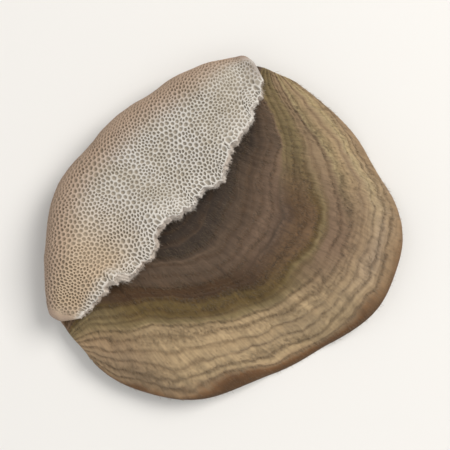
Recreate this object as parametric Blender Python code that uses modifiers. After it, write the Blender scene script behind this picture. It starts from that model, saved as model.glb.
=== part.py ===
"""A dried turkey tail cap: one thin leathery bracket, round in plan, whose rear third has curled
up and folded forward, so that its pale pore side shows above the zoned top. It lies as picked,
on the belly of the fold and on the low points of its wavy margin.

The cap is one sheet. A cross-section of it starts at the torn edge, runs back along the flap,
turns down round the curl, and comes forward along the floor as the fan, out to the thin margin.
"""

import math

import bmesh
import bpy
import numpy as np

MM = 0.001  # metres in a millimetre

# Outline in plan, about the shape's own centre: a mean radius and soft bulges (order, height, way).
MEAN_RADIUS = 10.75 * MM
BULGES = (
    (1, 0.35 * MM, math.radians(-68)),
    (2, 0.68 * MM, math.radians(57)),
    (3, 0.38 * MM, math.radians(-54)),
    (4, 0.29 * MM, math.radians(-48)),
    (11, 0.07 * MM, math.radians(30)),
)
PLAN_CENTRE = (0.38 * MM, 0.10 * MM)  # the middle of the finished cap's box, in those coordinates

# The fan's margin runs clockwise from the top tip to the lower tip, and the fold the other way.
MARGIN_START, MARGIN_SWEEP = math.radians(65), math.radians(-198)
FOLD_START, FOLD_SWEEP = math.radians(83), math.radians(124)
FLAP_WAY = math.radians(-33)  # the way that the flap points in plan, from the fold
TIP_WAYS = (math.radians(74), math.radians(218))  # the ways out of the two tips, top and lower

# The torn edge, where the cap came off the wood: (share of the way along the fold, x, y).
TORN_EDGE = (
    (0.00, 2.9 * MM, 9.5 * MM),
    (0.10, 2.2 * MM, 7.6 * MM),
    (0.18, 1.7 * MM, 6.1 * MM),
    (0.27, 0.6 * MM, 4.5 * MM),
    (0.36, 0.2 * MM, 2.8 * MM),
    (0.43, -1.3 * MM, 1.9 * MM),
    (0.51, -2.2 * MM, 0.7 * MM),
    (0.58, -3.7 * MM, 0.1 * MM),
    (0.66, -4.0 * MM, -1.5 * MM),
    (0.74, -4.9 * MM, -2.8 * MM),
    (0.83, -6.5 * MM, -3.5 * MM),
    (0.92, -7.8 * MM, -4.8 * MM),
    (1.00, -8.7 * MM, -5.9 * MM),
)

# Thickness of the flesh along the cross-section.
TORN_THICKNESS = 0.70 * MM
FOLD_THICKNESS = 1.15 * MM
FAN_THICKNESS = 1.00 * MM
MARGIN_THICKNESS = 0.42 * MM
TIP_THICKNESS = 0.50 * MM
FAN_THICK_FROM, THIN_FROM = 0.4, 0.5  # shares of the way out from the fold to the margin

# The curl.
CURL_RADIUS, TIP_CURL_RADIUS = 1.50 * MM, 0.80 * MM
CURL_ANGLE, TIP_CURL_ANGLE = math.radians(183), math.radians(165)
TIP_SHARE = 0.20  # how far along the fold each tip's tighter curl reaches
TIP_NOSE = 0.70 * MM  # how far each rounded tip bulges past the straight end of the sheet
TIP_LIFT = 0.55 * MM
RELIEF_SHARE = 0.32  # how far from each tip the fan's crest and waves take to grow

# Heights of the sheet's middle above the floor: the fold, the fan's crest near the margin, and the
# margin's waves and smaller ripples, which grow outwards as a power of the way out.
FOLD_HEIGHT = 0.50 * MM
FAN_HEIGHT, FAN_LEVEL_FROM = 1.25 * MM, 0.4
CREST_RISE, CREST_PLACE, CREST_WIDTH = 1.95 * MM, 0.76, 0.18
CREST_SWING, CREST_SWINGS, CREST_PHASE = 0.20, 2, 0.6
MARGIN_DROOP = 0.85 * MM
WAVE_HEIGHT, WAVES, WAVE_PHASE, WAVE_GROWTH = 0.95 * MM, 2.35, 0.25, 2.5
RIPPLE_HEIGHT, RIPPLES, RIPPLE_PHASE, RIPPLE_GROWTH = 0.22 * MM, 5.3, 1.9, 4
FLAP_SAG, FLAP_EDGE_DROP = 0.35 * MM, 0.30 * MM
FLAP_WAVE_HEIGHT, FLAP_WAVES = 0.26 * MM, 3.4
REST_DEPTH = 0.06 * MM  # how much of a low point the floor takes off
REST_SOFTNESS = 0.07 * MM

# Surface relief: concentric growth ridges and radial puckers.
RIDGE_HEIGHT, RIDGES, RIDGE_START, RIDGE_FADE = 0.11 * MM, 6, 0.25, 0.15
PUCKER_HEIGHT, PUCKERS = 0.11 * MM, 11

CAP_COLOUR = (0.40, 0.31, 0.22, 1)  # the mean of the brown zones and the pale pores
CAP_ROUGHNESS = 0.9
CUTTER_SIDE, CUTTER_DEPTH = 60 * MM, 10 * MM

# Rows of the sheet on the flap, round the curl and on the fan, and columns from tip to tip.
FLAP_ROWS, CURL_ROWS, FAN_ROWS, COLUMNS = 11, 9, 33, 41
ROWS = FLAP_ROWS + CURL_ROWS + FAN_ROWS


def smooth(x):
    """An S-curve from 0 at x = 0 to 1 at x = 1."""
    x = np.clip(x, 0, 1)
    return x * x * (3 - 2 * x)


def blend(a, b, share):
    return a + (b - a) * share


def wave(turns, phase=0.0):
    return np.cos(2 * math.pi * turns + phase)


def heading(angle):
    return np.array([math.cos(angle), math.sin(angle)])


def unit(vectors):
    return vectors / np.linalg.norm(vectors, axis=-1, keepdims=True)


def outline(angle):
    """The outline's point in the direction angle."""
    radius = MEAN_RADIUS + sum(h * np.cos(n * angle - way) for n, h, way in BULGES)
    return np.stack([radius * np.cos(angle), radius * np.sin(angle)], axis=-1)


def torn_edge(along):
    stations, x, y = zip(*TORN_EDGE)
    return np.stack([np.interp(along, stations, x), np.interp(along, stations, y)], axis=-1)


def body_share(along, reach=TIP_SHARE):
    """0 at the two tips and 1 beyond their reach."""
    return smooth(along / reach) * smooth((1 - along) / reach)


def thin_tips(thick, along):
    return blend(np.minimum(thick, TIP_THICKNESS), thick, body_share(along))


def curl_radius(along):
    return blend(TIP_CURL_RADIUS, CURL_RADIUS, body_share(along))


def fold_height(along):
    return FOLD_HEIGHT + TIP_LIFT * np.abs(2 * along - 1) ** 4


def fold_line(along):
    """Where the fan meets the floor side of the curl: the outline, moved in by the curl's depth."""
    inset = curl_radius(along) + thin_tips(FOLD_THICKNESS, along) / 2
    return outline(FOLD_START + FOLD_SWEEP * along) + inset[..., None] * heading(FLAP_WAY)


def tip_nose(across, along):
    """Rounds the sheet's two ends: it pushes them out, most in the middle of their length."""
    push = 0
    for tip, way in zip((along, 1 - along), TIP_WAYS):
        push = push + (np.clip(1 - tip / TIP_SHARE, 0, 1) ** 2)[..., None] * heading(way)
    swell = np.sin(math.pi * np.clip(across, 0, 1) ** 0.7) ** 1.5
    return TIP_NOSE * push * swell[..., None]


def fan_height(out, along):
    """Height of the fan's middle, out from the fold (0) to the margin (1)."""
    body = body_share(along, RELIEF_SHARE)
    low = blend(fold_height(along), FAN_HEIGHT, smooth(out / FAN_LEVEL_FROM))
    crest = CREST_RISE * body * (1 + CREST_SWING * wave(CREST_SWINGS * along, CREST_PHASE))
    crest = crest * np.exp(-(((out - CREST_PLACE) / CREST_WIDTH) ** 2))
    droop = MARGIN_DROOP * body * smooth((out - CREST_PLACE) / (1 - CREST_PLACE))
    margin_wave = WAVE_HEIGHT * wave(WAVES * along, WAVE_PHASE) * out**WAVE_GROWTH
    ripple = RIPPLE_HEIGHT * wave(RIPPLES * along, RIPPLE_PHASE) * out**RIPPLE_GROWTH
    ridge = RIDGE_HEIGHT * wave(RIDGES * out) * smooth((out - RIDGE_START) / RIDGE_FADE)
    pucker = PUCKER_HEIGHT * wave(PUCKERS * along) * out**2
    return low + crest - droop + body * (margin_wave + ripple + ridge + pucker)


def flap_height(flap, along):
    """Height of the flap's middle above the end of the curl (flap 0), out to the torn edge (1)."""
    sway = FLAP_WAVE_HEIGHT * wave(FLAP_WAVES * along) * flap
    return body_share(along) * (sway - FLAP_SAG * np.sin(math.pi * flap) - FLAP_EDGE_DROP * flap)


def settle(height, thick):
    """Lets the sheet bend up where it would go through the floor, all but REST_DEPTH."""
    lowest = thick / 2 - REST_DEPTH
    return lowest + REST_SOFTNESS * np.logaddexp(0, (height - lowest) / REST_SOFTNESS)


def spans(row):
    """How far a row is along the flap, round the curl (both back from the fan), and out the fan."""
    flap = np.clip((FLAP_ROWS - row) / FLAP_ROWS, 0, 1)
    curl = np.clip((FLAP_ROWS + CURL_ROWS - row) / CURL_ROWS, 0, 1)
    fan = np.clip((row - FLAP_ROWS - CURL_ROWS) / FAN_ROWS, 0, 1)
    return flap, curl, fan


def thickness(row, along):
    """Thickness of the flesh at a row: it thins to the torn edge, the margin and the tips."""
    flap, _, fan = spans(row)
    thick = blend(FOLD_THICKNESS, TORN_THICKNESS, flap**1.5)
    thick = blend(thick, FAN_THICKNESS, smooth(fan / FAN_THICK_FROM))
    thick = blend(thick, MARGIN_THICKNESS, smooth((fan - THIN_FROM) / (1 - THIN_FROM)))
    return thin_tips(thick, along)


def sheet_point(row, along):
    """The middle of the sheet at a row, counted from the torn edge, and a share of the fold."""
    flap, curl, fan = spans(row)
    fold = fold_line(along)
    margin = outline(MARGIN_START + MARGIN_SWEEP * along)
    way = unit(blend(unit(margin - fold), heading(FLAP_WAY), curl[..., None]))

    radius = curl_radius(along)
    turned = curl * blend(TIP_CURL_ANGLE, CURL_ANGLE, body_share(along))
    plan = fold - way * (radius * np.sin(turned))[..., None]
    plan = blend(plan, torn_edge(along), flap[..., None])
    plan = plan + (margin - fold) * fan[..., None] + tip_nose(row / ROWS, along)

    bend = fold_height(along) + radius * (1 - np.cos(turned))
    height = np.where(fan > 0, fan_height(fan, along), bend + flap_height(flap, along))
    height = settle(height, thickness(row, along))
    return np.concatenate([plan - PLAN_CENTRE, height[..., None]], axis=-1)


def clear_scene():
    for obj in list(bpy.data.objects):
        bpy.data.objects.remove(obj, do_unlink=True)


def collection(name):
    made = bpy.data.collections.new(name)
    bpy.context.scene.collection.children.link(made)
    return made


def fungus_material():
    """Dry, matt and leathery."""
    material = bpy.data.materials.new("dried_bracket")
    material.use_nodes = True
    shader = material.node_tree.nodes["Principled BSDF"]
    shader.inputs["Base Color"].default_value = CAP_COLOUR
    shader.inputs["Roughness"].default_value = CAP_ROUGHNESS
    shader.inputs["Metallic"].default_value = 0.0
    return material


def make_sheet(name, into):
    """The bent sheet: a flat grid whose points are moved to the cap's middle surface."""
    bm = bmesh.new()
    bmesh.ops.create_grid(bm, x_segments=ROWS, y_segments=COLUMNS, size=0.5)
    mesh = bpy.data.meshes.new(name)
    bm.to_mesh(mesh)
    bm.free()
    flat = np.empty(len(mesh.vertices) * 3)
    mesh.vertices.foreach_get("co", flat)
    flat = flat.reshape(-1, 3)
    row, along = (flat[:, 0] + 0.5) * ROWS, flat[:, 1] + 0.5
    mesh.vertices.foreach_set("co", sheet_point(row, along).ravel())
    mesh.update()

    cap = bpy.data.objects.new(name, mesh)
    into.objects.link(cap)
    flesh = cap.vertex_groups.new(name="flesh")
    for index, share in enumerate(thickness(row, along) / FOLD_THICKNESS):
        flesh.add([index], float(share), "REPLACE")
    return cap


def thicken(cap):
    """Gives the sheet its flesh, half to each side."""
    solid = cap.modifiers.new("flesh", "SOLIDIFY")
    solid.thickness = FOLD_THICKNESS
    solid.offset = 0
    solid.vertex_group = "flesh"
    solid.thickness_vertex_group = 0
    solid.use_quality_normals = True


def rest_on_floor(cap, cutters):
    """Flattens the low points where the cap lies, by cutting off what is below the floor."""
    bm = bmesh.new()
    bmesh.ops.create_cube(bm, size=1)
    bmesh.ops.scale(bm, vec=(CUTTER_SIDE, CUTTER_SIDE, CUTTER_DEPTH), verts=bm.verts)
    mesh = bpy.data.meshes.new("floor_cutter")
    bm.to_mesh(mesh)
    bm.free()
    cutter = bpy.data.objects.new("floor_cutter", mesh)
    cutter.location = (0, 0, -CUTTER_DEPTH / 2)
    cutter.hide_render = True
    cutter.display_type = "WIRE"
    cutters.objects.link(cutter)
    cut = cap.modifiers.new("rest", "BOOLEAN")
    cut.operation = "DIFFERENCE"
    cut.object = cutter


def main():
    clear_scene()
    parts, cutters = collection("turkey_tail"), collection("cutters")
    cap = make_sheet("cap", parts)
    cap.data.materials.append(fungus_material())
    thicken(cap)
    rest_on_floor(cap, cutters)
    cap.data.shade_smooth()


main()
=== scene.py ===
"""The looks of a dried turkey tail cap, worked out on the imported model's own sheet.

The cap is one sheet. A point of it is named by two numbers: row, counted from the torn edge over
the flap, round the curl and out over the fan to the margin, and along, the share of the way from
the top tip of the fold to the lower tip. Every piece here is a function of those two.
"""

import math

import bpy
import numpy as np
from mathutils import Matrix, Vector
from mathutils.geometry import delaunay_2d_cdt


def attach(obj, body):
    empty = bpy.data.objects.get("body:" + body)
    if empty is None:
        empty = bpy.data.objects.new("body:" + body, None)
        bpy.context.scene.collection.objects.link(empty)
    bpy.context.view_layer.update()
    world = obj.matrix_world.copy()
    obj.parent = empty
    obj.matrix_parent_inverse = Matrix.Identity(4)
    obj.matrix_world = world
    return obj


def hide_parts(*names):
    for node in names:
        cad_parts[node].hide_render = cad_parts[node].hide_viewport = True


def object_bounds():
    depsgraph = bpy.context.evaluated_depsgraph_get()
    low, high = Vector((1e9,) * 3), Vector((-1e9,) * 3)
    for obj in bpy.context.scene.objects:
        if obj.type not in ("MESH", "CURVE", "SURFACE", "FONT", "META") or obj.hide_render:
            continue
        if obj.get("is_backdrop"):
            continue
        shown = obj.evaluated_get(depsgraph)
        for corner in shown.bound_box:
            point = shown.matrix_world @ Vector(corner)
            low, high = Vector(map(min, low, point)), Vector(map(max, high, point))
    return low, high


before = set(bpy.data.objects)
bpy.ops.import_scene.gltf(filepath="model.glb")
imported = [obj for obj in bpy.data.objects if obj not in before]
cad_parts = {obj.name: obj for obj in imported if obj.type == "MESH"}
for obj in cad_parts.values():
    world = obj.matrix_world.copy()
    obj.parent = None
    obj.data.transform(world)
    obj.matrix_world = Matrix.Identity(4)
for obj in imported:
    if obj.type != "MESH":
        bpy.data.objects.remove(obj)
cad_low, cad_high = (np.array(corner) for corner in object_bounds())

MM = 0.001

# ------------------------------------------------------------------ the cap's driving dimensions

MEAN_RADIUS = 10.75 * MM
BULGES = (
    (1, 0.35 * MM, math.radians(-68)),
    (2, 0.68 * MM, math.radians(57)),
    (3, 0.38 * MM, math.radians(-54)),
    (4, 0.29 * MM, math.radians(-48)),
    (11, 0.07 * MM, math.radians(30)),
)
PLAN_CENTRE = (0.38 * MM, 0.10 * MM)
MARGIN_START, MARGIN_SWEEP = math.radians(65), math.radians(-198)
FOLD_START, FOLD_SWEEP = math.radians(83), math.radians(124)
FLAP_WAY = math.radians(-33)
TIP_WAYS = (math.radians(74), math.radians(218))
TORN_EDGE = (
    (0.00, 2.9 * MM, 9.5 * MM),
    (0.10, 2.2 * MM, 7.6 * MM),
    (0.18, 1.7 * MM, 6.1 * MM),
    (0.27, 0.6 * MM, 4.5 * MM),
    (0.36, 0.2 * MM, 2.8 * MM),
    (0.43, -1.3 * MM, 1.9 * MM),
    (0.51, -2.2 * MM, 0.7 * MM),
    (0.58, -3.7 * MM, 0.1 * MM),
    (0.66, -4.0 * MM, -1.5 * MM),
    (0.74, -4.9 * MM, -2.8 * MM),
    (0.83, -6.5 * MM, -3.5 * MM),
    (0.92, -7.8 * MM, -4.8 * MM),
    (1.00, -8.7 * MM, -5.9 * MM),
)
TORN_THICKNESS = 0.70 * MM
FOLD_THICKNESS = 1.15 * MM
FAN_THICKNESS = 1.00 * MM
MARGIN_THICKNESS = 0.42 * MM
TIP_THICKNESS = 0.50 * MM
FAN_THICK_FROM, THIN_FROM = 0.4, 0.5
CURL_RADIUS, TIP_CURL_RADIUS = 1.50 * MM, 0.80 * MM
CURL_ANGLE, TIP_CURL_ANGLE = math.radians(183), math.radians(165)
TIP_SHARE = 0.20
TIP_NOSE = 0.70 * MM
TIP_LIFT = 0.55 * MM
RELIEF_SHARE = 0.32
FOLD_HEIGHT = 0.50 * MM
FAN_HEIGHT, FAN_LEVEL_FROM = 1.25 * MM, 0.4
CREST_RISE, CREST_PLACE, CREST_WIDTH = 1.95 * MM, 0.76, 0.18
CREST_SWING, CREST_SWINGS, CREST_PHASE = 0.20, 2, 0.6
MARGIN_DROOP = 0.85 * MM
WAVE_HEIGHT, WAVES, WAVE_PHASE, WAVE_GROWTH = 0.95 * MM, 2.35, 0.25, 2.5
RIPPLE_HEIGHT, RIPPLES, RIPPLE_PHASE, RIPPLE_GROWTH = 0.22 * MM, 5.3, 1.9, 4
FLAP_SAG, FLAP_EDGE_DROP = 0.35 * MM, 0.30 * MM
FLAP_WAVE_HEIGHT, FLAP_WAVES = 0.26 * MM, 3.4
REST_SOFTNESS = 0.07 * MM
RIDGE_HEIGHT, RIDGES, RIDGE_START, RIDGE_FADE = 0.11 * MM, 6, 0.25, 0.15
PUCKER_HEIGHT, PUCKERS = 0.11 * MM, 11
HEART_ZONE = 0.69
HEART_EDGE = (
    (0.00, 0.40), (0.10, 0.45), (0.16, 0.53), (0.22, 0.60), (0.30, 0.63), (0.40, 0.66), (0.50, 0.70),
    (0.56, 0.715), (0.62, 0.69), (0.69, 0.62), (0.75, 0.51), (0.81, 0.42), (0.90, 0.33), (1.00, 0.30),
)
FLAP_ROWS, CURL_ROWS, FAN_ROWS = 11, 9, 33
ROWS = FLAP_ROWS + CURL_ROWS + FAN_ROWS
FOLD_LENGTH, MARGIN_LENGTH = 20 * MM, 37 * MM
CREASES_AT, CREASE_ROWS = (FLAP_ROWS, FLAP_ROWS + CURL_ROWS), 1.6
TEETH = ((1.5 * MM, 0.10 * MM), (0.65 * MM, 0.10 * MM), (0.28 * MM, 0.06 * MM), (0.14 * MM, 0.025 * MM))
CURLED_LIP = ((2.2 * MM, 0.10 * MM), (0.8 * MM, 0.05 * MM))
TEETH_REACH = 5
NORMAL_ROWS, NORMAL_SHARE = 0.6, 0.006
EASING = (-0.027, -0.018, -0.009, 0.0, 0.009, 0.018, 0.027)

# ------------------------------------------------------------------ small helpers


def smooth(x):
    """An S-curve from 0 at x = 0 to 1 at x = 1."""
    x = np.clip(x, 0, 1)
    return x * x * (3 - 2 * x)


def blend(a, b, share):
    """From a at share 0 to b at share 1."""
    return a + (b - a) * share


def wave(turns, phase=0.0):
    """A cosine of a number of full turns."""
    return np.cos(2 * math.pi * turns + phase)


def heading(angle):
    """The unit vector in plan at an angle from +X."""
    return np.array([math.cos(angle), math.sin(angle)])


def unit(vectors):
    """Vectors brought to length 1."""
    return vectors / np.linalg.norm(vectors, axis=-1, keepdims=True)


def dapple(points, size, seed, layers=14):
    """A smooth random field about -1 to 1, whose lumps are about size across.

    It is the sum of plane waves of wavelength near 2 * size, in random directions and phases.
    """
    draw = np.random.default_rng(seed)
    ways = unit(draw.normal(size=(layers, points.shape[-1])))
    turns = ways * (draw.uniform(0.6, 1.5, (layers, 1)) / (2 * size))
    phases = draw.uniform(0, 2 * math.pi, layers)
    total = np.zeros(points.shape[:-1])
    for turn, phase in zip(turns, phases):
        total = total + wave(points @ turn, phase)
    return total / math.sqrt(layers / 2) / 1.6


def dapples(points, layers, seed):
    """The sum of dapple fields, one for each (size, height) of the layers."""
    return sum(height * dapple(points, size, seed + n) for n, (size, height) in enumerate(layers))


# ------------------------------------------------------------------ the sheet


def outline(angle):
    """The cap in plan: a mean radius plus a cosine bulge for each order."""
    radius = MEAN_RADIUS + sum(h * np.cos(n * angle - way) for n, h, way in BULGES)
    return np.stack([radius * np.cos(angle), radius * np.sin(angle)], axis=-1)


def eased(along, stations, values):
    """Values between stations, with the bends at them rounded off by a running mean."""
    return sum(np.interp(along + shift, stations, values) for shift in EASING) / len(EASING)


def margin_line(along):
    """The margin in plan, clockwise from the top tip to the lower one."""
    return outline(MARGIN_START + MARGIN_SWEEP * along)


def torn_edge(along):
    """The torn edge in plan, through its stations."""
    stations, x, y = zip(*TORN_EDGE)
    return np.stack([eased(along, stations, x), eased(along, stations, y)], axis=-1)


def body_share(along, reach=TIP_SHARE):
    """0 at the two tips and 1 beyond their reach."""
    return smooth(along / reach) * smooth((1 - along) / reach)


def thin_tips(thick, along):
    """A thickness that is no more than the tips' own at the two tips."""
    return blend(np.minimum(thick, TIP_THICKNESS), thick, body_share(along))


def curl_radius(along):
    """The curl's radius: smaller at the tips."""
    return blend(TIP_CURL_RADIUS, CURL_RADIUS, body_share(along))


def curl_angle(along):
    """How far the sheet turns round the curl: less at the tips."""
    return blend(TIP_CURL_ANGLE, CURL_ANGLE, body_share(along))


def fold_height(along):
    """Height of the fold line's middle: it lifts by a fourth power towards the tips."""
    return FOLD_HEIGHT + TIP_LIFT * np.abs(2 * along - 1) ** 4


def fold_line(along):
    """Where the fan meets the floor side of the curl: the outline, moved in by the curl's depth."""
    inset = curl_radius(along) + thin_tips(FOLD_THICKNESS, along) / 2
    return outline(FOLD_START + FOLD_SWEEP * along) + inset[..., None] * heading(FLAP_WAY)


def tip_nose(across, along):
    """Rounds the sheet's two ends: it pushes them out, most in the middle of their length."""
    push = 0
    for tip, way in zip((along, 1 - along), TIP_WAYS):
        push = push + (np.clip(1 - tip / TIP_SHARE, 0, 1) ** 2)[..., None] * heading(way)
    swell = np.sin(math.pi * np.clip(across, 0, 1) ** 0.7) ** 1.5
    return TIP_NOSE * push * swell[..., None]


def growth(out, along):
    """How old the fan is at a share of the way out: a power of it, so that the dark heart ends on its
    own line in plan and the zones outside it crowd together where the cap grew least."""
    heart = eased(along, *zip(*HEART_EDGE))
    return np.maximum(out, 1e-6) ** (math.log(HEART_ZONE) / np.log(heart))


def fan_height(out, along):
    """Height of the fan's middle: its crest, the margin's droop and waves, ridges and puckers."""
    body = body_share(along, RELIEF_SHARE)
    low = blend(fold_height(along), FAN_HEIGHT, smooth(out / FAN_LEVEL_FROM))
    crest = CREST_RISE * body * (1 + CREST_SWING * wave(CREST_SWINGS * along, CREST_PHASE))
    crest = crest * np.exp(-(((out - CREST_PLACE) / CREST_WIDTH) ** 2))
    droop = MARGIN_DROOP * body * smooth((out - CREST_PLACE) / (1 - CREST_PLACE))
    margin_wave = WAVE_HEIGHT * wave(WAVES * along, WAVE_PHASE) * out**WAVE_GROWTH
    ripple = RIPPLE_HEIGHT * wave(RIPPLES * along, RIPPLE_PHASE) * out**RIPPLE_GROWTH
    ridge = RIDGE_HEIGHT * wave(RIDGES * growth(out, along))
    ridge = ridge * smooth((out - RIDGE_START) / RIDGE_FADE)
    pucker = PUCKER_HEIGHT * wave(PUCKERS * along) * out**2
    return low + crest - droop + body * (margin_wave + ripple + ridge + pucker)


def flap_height(flap, along):
    """Height of the flap's middle above the end of the curl (flap 0), out to the torn edge (1)."""
    sway = FLAP_WAVE_HEIGHT * wave(FLAP_WAVES * along) * flap
    return body_share(along) * (sway - FLAP_SAG * np.sin(math.pi * flap) - FLAP_EDGE_DROP * flap)


def settle(height, lowest):
    """Bends the sheet up softly where it would go through the floor."""
    return lowest + REST_SOFTNESS * np.logaddexp(0, (height - lowest) / REST_SOFTNESS)


def spans(row):
    """How far a row is along the flap, round the curl (both back from the fan), and out the fan."""
    flap = np.clip((FLAP_ROWS - row) / FLAP_ROWS, 0, 1)
    curl = np.clip((FLAP_ROWS + CURL_ROWS - row) / CURL_ROWS, 0, 1)
    fan = np.clip((row - FLAP_ROWS - CURL_ROWS) / FAN_ROWS, 0, 1)
    return flap, curl, fan


def thickness(row, along):
    """Thickness of the flesh: it thins to the torn edge, the margin and the tips."""
    flap, _, fan = spans(row)
    thick = blend(FOLD_THICKNESS, TORN_THICKNESS, flap**1.5)
    thick = blend(thick, FAN_THICKNESS, smooth(fan / FAN_THICK_FROM))
    thick = blend(thick, MARGIN_THICKNESS, smooth((fan - THIN_FROM) / (1 - THIN_FROM)))
    return thin_tips(thick, along)


def stiff_middle(row, along):
    """The middle of the sheet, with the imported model's creases where its three spans meet."""
    flap, curl, fan = spans(row)
    fold, margin = fold_line(along), margin_line(along)
    way = unit(blend(unit(margin - fold), heading(FLAP_WAY), curl[..., None]))
    radius = curl_radius(along)
    turned = curl * curl_angle(along)
    plan = fold - way * (radius * np.sin(turned))[..., None]
    plan = blend(plan, torn_edge(along), flap[..., None])
    plan = plan + (margin - fold) * fan[..., None] + tip_nose(row / ROWS, along)
    bend = fold_height(along) + radius * (1 - np.cos(turned))
    height = np.where(fan > 0, fan_height(fan, along), bend + flap_height(flap, along))
    height = settle(height, thickness(row, along) / 2)
    return np.concatenate([plan - PLAN_CENTRE, height[..., None]], axis=-1)


def raggedness(row, along):
    """How far the torn edge juts out and up: irregular teeth along it that fade into the flap."""
    run = along[..., None] * FOLD_LENGTH
    out, up = dapples(run, TEETH, 91), dapples(run, CURLED_LIP, 95)
    fade = smooth(1 - row / TEETH_REACH) * body_share(along, 0.06)
    return np.concatenate([(out * fade)[..., None] * heading(FLAP_WAY), (up * fade)[..., None]], axis=-1)


def middle(row, along):
    """The middle of the sheet, with its creases eased by a running mean, and its ragged tear."""
    ease = CREASE_ROWS * sum(np.exp(-(((row - seam) / CREASE_ROWS) ** 2)) for seam in CREASES_AT)
    beside = stiff_middle(row - ease, along) + stiff_middle(row + ease, along)
    return (beside + 2 * stiff_middle(row, along)) / 4 + raggedness(row, along)


def normal(row, along):
    """The sheet's normal, to the zoned side: across the two ways along the sheet."""
    row_a, row_b = np.maximum(row - NORMAL_ROWS, 0), np.minimum(row + NORMAL_ROWS, ROWS)
    along_a, along_b = np.maximum(along - NORMAL_SHARE, 0), np.minimum(along + NORMAL_SHARE, 1)
    down_row = middle(row_b, along) - middle(row_a, along)
    down_along = middle(row, along_b) - middle(row, along_a)
    return unit(np.cross(down_along, down_row))


# ------------------------------------------------------------------ fine shape of the sheet

EDGE_ROUND, TIP_ROUND, EDGE_BLUNT = 0.38 * MM, 0.30 * MM, 0.07
BOX_SOFTNESS = 0.035 * MM

ZONE_WANDER = ((3.0 * MM, 0.016), (1.1 * MM, 0.006), (0.5 * MM, 0.003))
GROOVES = (
    0.30, 0.345, 0.40, 0.455, 0.50, 0.545, 0.605, 0.65, 0.69, 0.715, 0.76, 0.80, 0.84, 0.88, 0.92, 0.955,
)
GROOVE_DEPTH, GROOVE_WIDTH = 0.034 * MM, 0.0065
STEP_HEIGHT, STEP_FALL = 0.020 * MM, 0.22
FIBRIL_HEIGHT, FIBRILS, FIBRIL_WAVES, FIBRIL_DRIFT = 0.012 * MM, (22, 68), 12, (-2.5, 2.5)
CREASE_WIGGLE, CREASE_FADE = 0.012, 0.2
LUMPS = ((1.3 * MM, 0.035 * MM), (0.55 * MM, 0.020 * MM), (0.28 * MM, 0.008 * MM))
CREASES = (
    (0.115, 0.010, 0.45, 0.07 * MM),
    (0.205, 0.008, 0.60, 0.05 * MM),
    (0.315, 0.007, 0.70, 0.06 * MM),
    (0.425, 0.006, 0.55, 0.05 * MM),
    (0.515, 0.007, 0.72, 0.07 * MM),
    (0.585, 0.006, 0.62, 0.04 * MM),
    (0.665, 0.007, 0.66, 0.08 * MM),
    (0.735, 0.006, 0.75, 0.05 * MM),
    (0.825, 0.008, 0.50, 0.06 * MM),
    (0.905, 0.010, 0.35, 0.05 * MM),
)

PORE_PITCH, PORE_DEPTH = 0.27 * MM, 0.17 * MM
FLESH_RISE, FLESH_GAP, FLESH_FADE = 0.006 * MM, 0.06 * MM, 0.80
PORE_BORDERS = (0.50 * MM, 0.12 * MM)
PORE_FADE = (0.90 * MM, 0.90 * MM)
PORE_BORDER_RAGGED = 0.22 * MM
PORE_LUMPS, PORE_LUMP_REACHES = ((1.5 * MM, 0.030 * MM), (0.6 * MM, 0.014 * MM)), (1.5 * MM, 1.0 * MM)


def reaches(row, along):
    """How far a point is from the margin, and from the nearer tip's end."""
    _, _, fan = spans(row)
    to_margin = (1 - fan) * np.linalg.norm(margin_line(along) - fold_line(along), axis=-1)
    to_tip = np.minimum(along, 1 - along) * blend(FOLD_LENGTH, MARGIN_LENGTH, fan)
    return to_margin, to_tip


def round_off(distance, reach):
    """A quarter ellipse: 0 at an edge and 1 beyond its reach."""
    return np.sqrt(1 - (1 - np.clip(distance / reach, 0, 1)) ** 2)


def flesh(row, along):
    """Thickness with its margin and tips rounded off."""
    to_margin, to_tip = reaches(row, along)
    rounded = round_off(to_margin, EDGE_ROUND) * round_off(to_tip, TIP_ROUND)
    return thickness(row, along) * blend(EDGE_BLUNT, 1, rounded)


def zone(row, along):
    """The growth zone of a point of the fan, warped so that its lines wander."""
    _, _, fan = spans(row)
    plan = middle(row, along)[..., :2]
    wander = dapples(plan, ZONE_WANDER, 11)
    return growth(fan, along) + wander * smooth(fan / 0.2) * smooth((1 - fan) / 0.05)


def growth_lines(place):
    """1 on a growth line and 0 between them, for each zone value."""
    return sum(np.exp(-(((place - line) / GROOVE_WIDTH) ** 2)) for line in GROOVES)


def zoned_relief(row, along):
    """Relief of the upper skin: a groove and a low step at each growth line, radial fibrils, lumps,
    and short radial creases that dry skin puckers into."""
    to_margin, to_tip = reaches(row, along)
    flap, _, fan = spans(row)
    place = zone(row, along)
    plan = middle(row, along)[..., :2]

    lines = np.array(GROOVES)
    below = np.clip(np.searchsorted(lines, place) - 1, 0, len(lines) - 2)
    climb = np.clip((place - lines[below]) / (lines[below + 1] - lines[below]), 0, 1)
    tread = smooth(np.minimum(climb / (1 - STEP_FALL), (1 - climb) / STEP_FALL))
    relief = STEP_HEIGHT * (2 * tread - 1) * smooth((place - lines[0]) / 0.05)
    relief = relief - GROOVE_DEPTH * growth_lines(place) + dapples(plan, LUMPS, 21)

    draw = np.random.default_rng(31)
    for _ in range(FIBRIL_WAVES):
        turns, drift, phase = draw.uniform(*FIBRILS), draw.uniform(*FIBRIL_DRIFT), draw.uniform(0, 7)
        relief = relief + FIBRIL_HEIGHT / 2 * wave(turns * along + drift * fan, phase)
    for n, (place_along, width, start, depth) in enumerate(CREASES):
        middle_line = place_along + CREASE_WIGGLE * np.sin(7 * fan + 2.1 * n) * (1 - 0.3 * fan)
        dent = np.exp(-(((along - middle_line) / width) ** 2)) * smooth((fan - start) / CREASE_FADE)
        relief = relief - depth * dent

    return relief * round_off(to_margin, 2 * EDGE_ROUND) * round_off(to_tip, 2 * TIP_ROUND) * (1 - flap)


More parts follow.
